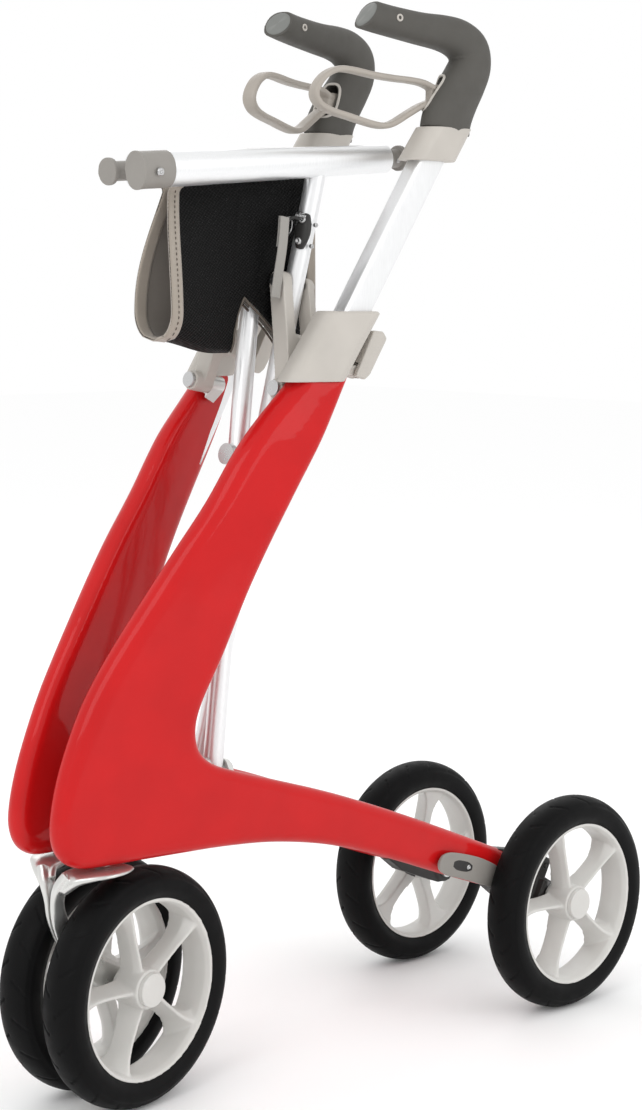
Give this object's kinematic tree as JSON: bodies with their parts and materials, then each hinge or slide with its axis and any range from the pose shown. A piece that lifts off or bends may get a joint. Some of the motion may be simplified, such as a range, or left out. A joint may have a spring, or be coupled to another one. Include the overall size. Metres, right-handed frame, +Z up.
{
  "type": "rollator walker",
  "caption": "Folding wheeled walker with hanging cloth seat, looped brake levers and swivelling front casters, shown folded.",
  "frame": {"origin": "on the floor under the middle of the folded walker's bounding box", "axes": "+Z up, the walker faces -Y, its left side is +X"},
  "size_m": [0.2318, 0.6591, 0.9084],
  "materials": {
    "frame_red": "gloss lacquer over moulded composite",
    "housing_grey": "fine satin moulding",
    "lever_grey": "satin moulding",
    "cap_grey": "satin moulding",
    "dark_plastic": "satin moulding",
    "grip_rubber": "soft touch",
    "tyre_black": "matt, moulded tread",
    "rim_grey": "satin moulding",
    "tube_silver": "satin anodised",
    "cast_silver": "cast, lightly polished",
    "bolt_steel": "machined",
    "bearing_steel": "ground",
    "sling_mesh": "open mesh with bound edges",
    "strap_grey": "woven webbing"
  },
  "bodies": {
    "left_frame": {"side_frame_left": "frame_red", "top_housing_left": "housing_grey", "stem_bearings_left": "bearing_steel", "rear_carrier_left": "cast_silver", "brake_cover_left": "housing_grey", "rear_axle_left": "bolt_steel", "frame_lugs_left": "cast_silver", "pivot_bolts_left": "bolt_steel"},
    "left_clamp": {"height_clamp_left": "housing_grey"},
    "left_handle": {"height_tube_left": "tube_silver", "handle_sleeve_left": "housing_grey", "grip_left": "grip_rubber", "lever_pin_left": "bolt_steel"},
    "left_lever": {"brake_lever_left": "lever_grey"},
    "left_brake": {"brake_arm_left": "dark_plastic"},
    "left_caster": {"fork_left": "cast_silver", "front_axle_left": "bolt_steel"},
    "left_front_wheel": {"front_tyre_left": "tyre_black", "front_rim_left": "rim_grey", "front_hub_fittings_left": "rim_grey"},
    "left_rear_wheel": {"rear_tyre_left": "tyre_black", "rear_rim_left": "rim_grey", "rear_hub_fittings_left": "rim_grey"},
    "left_link": {"link_left": "housing_grey", "link_bolts_left": "bolt_steel"},
    "left_cloth": {"sling_left": "sling_mesh"},
    "right_frame": {"side_frame_right": "frame_red", "top_housing_right": "housing_grey", "stem_bearings_right": "bearing_steel", "rear_carrier_right": "cast_silver", "brake_cover_right": "housing_grey", "rear_axle_right": "bolt_steel", "frame_lugs_right": "cast_silver", "pivot_bolts_right": "bolt_steel"},
    "right_clamp": {"height_clamp_right": "housing_grey"},
    "right_handle": {"height_tube_right": "tube_silver", "handle_sleeve_right": "housing_grey", "grip_right": "grip_rubber", "lever_pin_right": "bolt_steel"},
    "right_lever": {"brake_lever_right": "lever_grey"},
    "right_brake": {"brake_arm_right": "dark_plastic"},
    "right_caster": {"fork_right": "cast_silver", "front_axle_right": "bolt_steel"},
    "right_front_wheel": {"front_tyre_right": "tyre_black", "front_rim_right": "rim_grey", "front_hub_fittings_right": "rim_grey"},
    "right_rear_wheel": {"rear_tyre_right": "tyre_black", "rear_rim_right": "rim_grey", "rear_hub_fittings_right": "rim_grey"},
    "right_link": {"link_right": "housing_grey", "link_bolts_right": "bolt_steel"},
    "right_cloth": {"sling_right": "sling_mesh"},
    "left_brace": {"seat_frame_left": "tube_silver", "rail_caps_left": "cap_grey", "fold_latch": "dark_plastic", "release_strap": "strap_grey"},
    "right_brace": {"seat_frame_right": "tube_silver", "rail_caps_right": "cap_grey", "centre_pivot": "bolt_steel"}
  },
  "joints": [
    {"name": "fold", "type": "hinge", "parent": "left_frame", "child": "right_brace", "pos_m": [0.02201, -0.14871, 0.26966], "axis": [0, -0.9848, 0.1736], "range_deg": [0, 38.5]},
    {"name": "brace_cross", "type": "hinge", "parent": "right_brace", "child": "left_brace", "pos_m": [0, -0.0904, 0.5255], "axis": [0, 0.9848, -0.1736], "range_deg": [0, 77.2], "deforming": ["release_strap"]},
    {"name": "right_side", "type": "hinge", "parent": "left_brace", "child": "right_frame", "pos_m": [-0.02201, -0.12311, 0.26515], "axis": [0, -0.9848, 0.1736], "range_deg": [0, 38.7]},
    {"name": "left_link_swing", "type": "hinge", "parent": "left_frame", "child": "left_link", "pos_m": [0.0385, -0.08024, 0.58311], "axis": [0, -0.9848, 0.1736], "range_deg": [0, 86.3]},
    {"name": "right_link_swing", "type": "hinge", "parent": "right_frame", "child": "right_link", "pos_m": [-0.0385, -0.08024, 0.58311], "axis": [0, 0.9848, -0.1736], "range_deg": [0, 86.3]},
    {"name": "cloth_hang", "type": "hinge", "parent": "left_brace", "child": "left_cloth", "pos_m": [0.004, -0.1824, 0.748], "axis": [0.0184, 0.9967, 0.0788], "range_deg": [0, 44], "deforming": ["sling_left"]},
    {"name": "cloth_fold", "type": "hinge", "parent": "left_cloth", "child": "right_cloth", "pos_m": [0, -0.1934, 0.618], "axis": [0, 0.9959, -0.0905], "range_deg": [-163.2, 0], "deforming": ["sling_right"]},
    {"name": "left_height", "type": "slide", "parent": "left_frame", "child": "left_handle", "axis": [0.045, 0.5307, 0.8464], "range_m": [-0.04, 0.08]},
    {"name": "left_brake_lever", "type": "hinge", "parent": "left_handle", "child": "left_lever", "pos_m": [0.0685, 0.0796, 0.834], "axis": [-0.9781, 0.2079, 0], "range_deg": [0, 12], "stiffness_Nm_per_rad": 1},
    {"name": "left_brake_arm", "type": "hinge", "parent": "left_frame", "child": "left_brake", "pos_m": [0.075, 0.2216, 0.131], "axis": [1, 0, 0], "range_deg": [0, 2.5]},
    {"name": "left_height_clamp", "type": "hinge", "parent": "left_frame", "child": "left_clamp", "pos_m": [0.065, -0.0324, 0.6], "axis": [-1, 0, 0], "range_deg": [0, 50]},
    {"name": "left_swivel", "type": "hinge", "parent": "left_frame", "child": "left_caster", "pos_m": [0.0285, -0.2704, 0.23], "axis": [0, 0, 1], "range_deg": [-12, 4]},
    {"name": "left_front_roll", "type": "hinge", "parent": "left_caster", "child": "left_front_wheel", "pos_m": [0.02301, -0.22977, 0.1], "axis": [0.991, 0.134, 0], "continuous": true},
    {"name": "left_rear_roll", "type": "hinge", "parent": "left_frame", "child": "left_rear_wheel", "pos_m": [0.0979, 0.2296, 0.1], "axis": [1, 0, 0], "continuous": true},
    {"name": "right_height", "type": "slide", "parent": "right_frame", "child": "right_handle", "axis": [-0.045, 0.5307, 0.8464], "range_m": [-0.04, 0.08]},
    {"name": "right_brake_lever", "type": "hinge", "parent": "right_handle", "child": "right_lever", "pos_m": [-0.0685, 0.0796, 0.834], "axis": [-0.9781, -0.2079, 0], "range_deg": [0, 12], "stiffness_Nm_per_rad": 1},
    {"name": "right_brake_arm", "type": "hinge", "parent": "right_frame", "child": "right_brake", "pos_m": [-0.075, 0.2216, 0.131], "axis": [1, 0, 0], "range_deg": [0, 2.5]},
    {"name": "right_height_clamp", "type": "hinge", "parent": "right_frame", "child": "right_clamp", "pos_m": [-0.065, -0.0324, 0.6], "axis": [-1, 0, 0], "range_deg": [0, 50]},
    {"name": "right_swivel", "type": "hinge", "parent": "right_frame", "child": "right_caster", "pos_m": [-0.0285, -0.2704, 0.23], "axis": [0, 0, 1], "range_deg": [-4, 12]},
    {"name": "right_front_roll", "type": "hinge", "parent": "right_caster", "child": "right_front_wheel", "pos_m": [-0.03399, -0.22977, 0.1], "axis": [0.991, 0.134, 0], "continuous": true},
    {"name": "right_rear_roll", "type": "hinge", "parent": "right_frame", "child": "right_rear_wheel", "pos_m": [-0.0979, 0.2296, 0.1], "axis": [1, 0, 0], "continuous": true}
  ],
  "couplings": [
    {"joint": "brace_cross", "follows": "fold", "ratio": 2},
    {"joint": "right_side", "follows": "fold", "ratio": 1},
    {"joint": "left_link_swing", "follows": "fold", "ratio": 2.2329},
    {"joint": "right_link_swing", "follows": "fold", "ratio": 2.2329},
    {"joint": "cloth_hang", "follows": "fold", "ratio": 1.1364},
    {"joint": "cloth_fold", "follows": "fold", "ratio": -4.2273},
    {"joint": "left_brake_arm", "follows": "left_brake_lever", "ratio": 0.2083},
    {"joint": "right_brake_arm", "follows": "right_brake_lever", "ratio": 0.2083}
  ]
}
